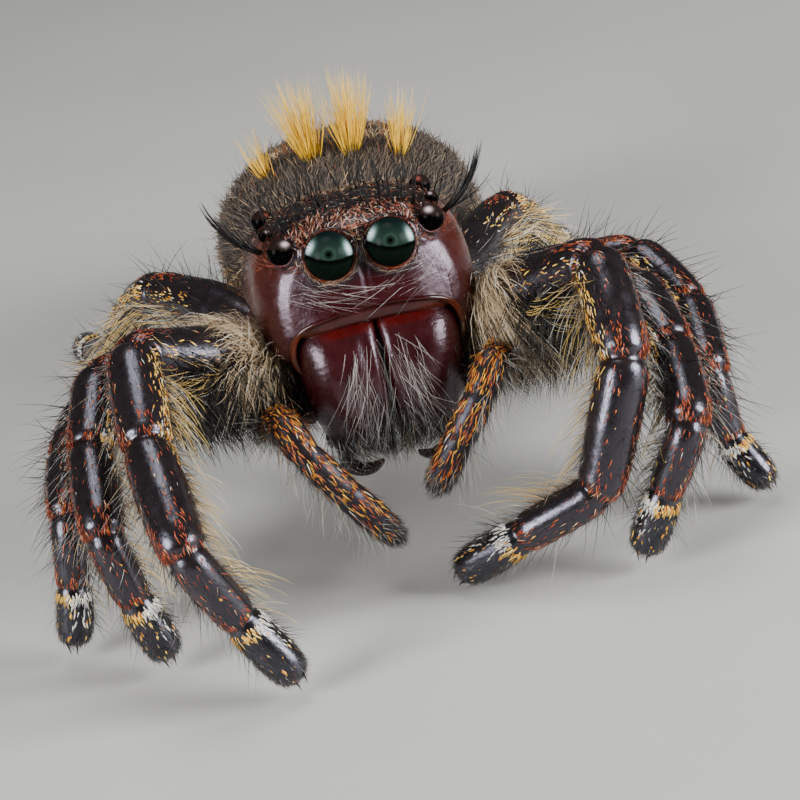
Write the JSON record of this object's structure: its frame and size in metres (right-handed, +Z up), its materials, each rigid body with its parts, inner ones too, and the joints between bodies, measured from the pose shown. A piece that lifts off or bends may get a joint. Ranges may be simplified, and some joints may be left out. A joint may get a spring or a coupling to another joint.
{
  "type": "giant jumping spider model",
  "caption": "Life-size still model of a giant jumping spider standing on its legs, with big front eyes, jaws, palps, hairy legs and a tufted abdomen.",
  "frame": {"origin": "on the floor under the middle of the bounding box", "axes": "the spider faces -Y, its left side is +X, +Z is up"},
  "size_m": [0.0172, 0.0274, 0.0093],
  "materials": {
    "cuticle": "glossy dark maroon-brown cuticle",
    "underside": "satin dark brown cuticle",
    "abdomen_coat": "matte short dark brown-grey hair",
    "jaw": "fine-grained glossy dark red",
    "fang": "polished near-black",
    "palp": "black cuticle under orange-yellow scales",
    "eye": "polished dark green-black lens",
    "leg": "glossy dark brown cuticle under hairs and scales"
  },
  "bodies": {
    "root": {"carapace": "cuticle", "sternum": "underside", "mouthparts": "underside", "pedicel": "underside", "spinnerets": "underside", "abdomen": "abdomen_coat", "chelicera_L": "jaw", "chelicera_R": "jaw", "fang_L": "fang", "fang_R": "fang", "palp_upper_L": "palp", "palp_upper_R": "palp", "palp_lower_L": "palp", "palp_lower_R": "palp", "eye_AM_L": "eye", "eye_AM_R": "eye", "eye_AL_L": "eye", "eye_AL_R": "eye", "eye_PM_L": "eye", "eye_PM_R": "eye", "eye_PL_L": "eye", "eye_PL_R": "eye", "leg_L1_femur": "leg", "leg_L1_patella": "leg", "leg_L1_tibia": "leg", "leg_L1_foot": "leg", "leg_L2_femur": "leg", "leg_L2_patella": "leg", "leg_L2_tibia": "leg", "leg_L2_foot": "leg", "leg_L3_femur": "leg", "leg_L3_patella": "leg", "leg_L3_tibia": "leg", "leg_L3_foot": "leg", "leg_L4_femur": "leg", "leg_L4_patella": "leg", "leg_L4_tibia": "leg", "leg_L4_foot": "leg", "leg_R1_femur": "leg", "leg_R1_patella": "leg", "leg_R1_tibia": "leg", "leg_R1_foot": "leg", "leg_R2_femur": "leg", "leg_R2_patella": "leg", "leg_R2_tibia": "leg", "leg_R2_foot": "leg", "leg_R3_femur": "leg", "leg_R3_patella": "leg", "leg_R3_tibia": "leg", "leg_R3_foot": "leg", "leg_R4_femur": "leg", "leg_R4_patella": "leg", "leg_R4_tibia": "leg", "leg_R4_foot": "leg"}
  },
  "joints": []
}
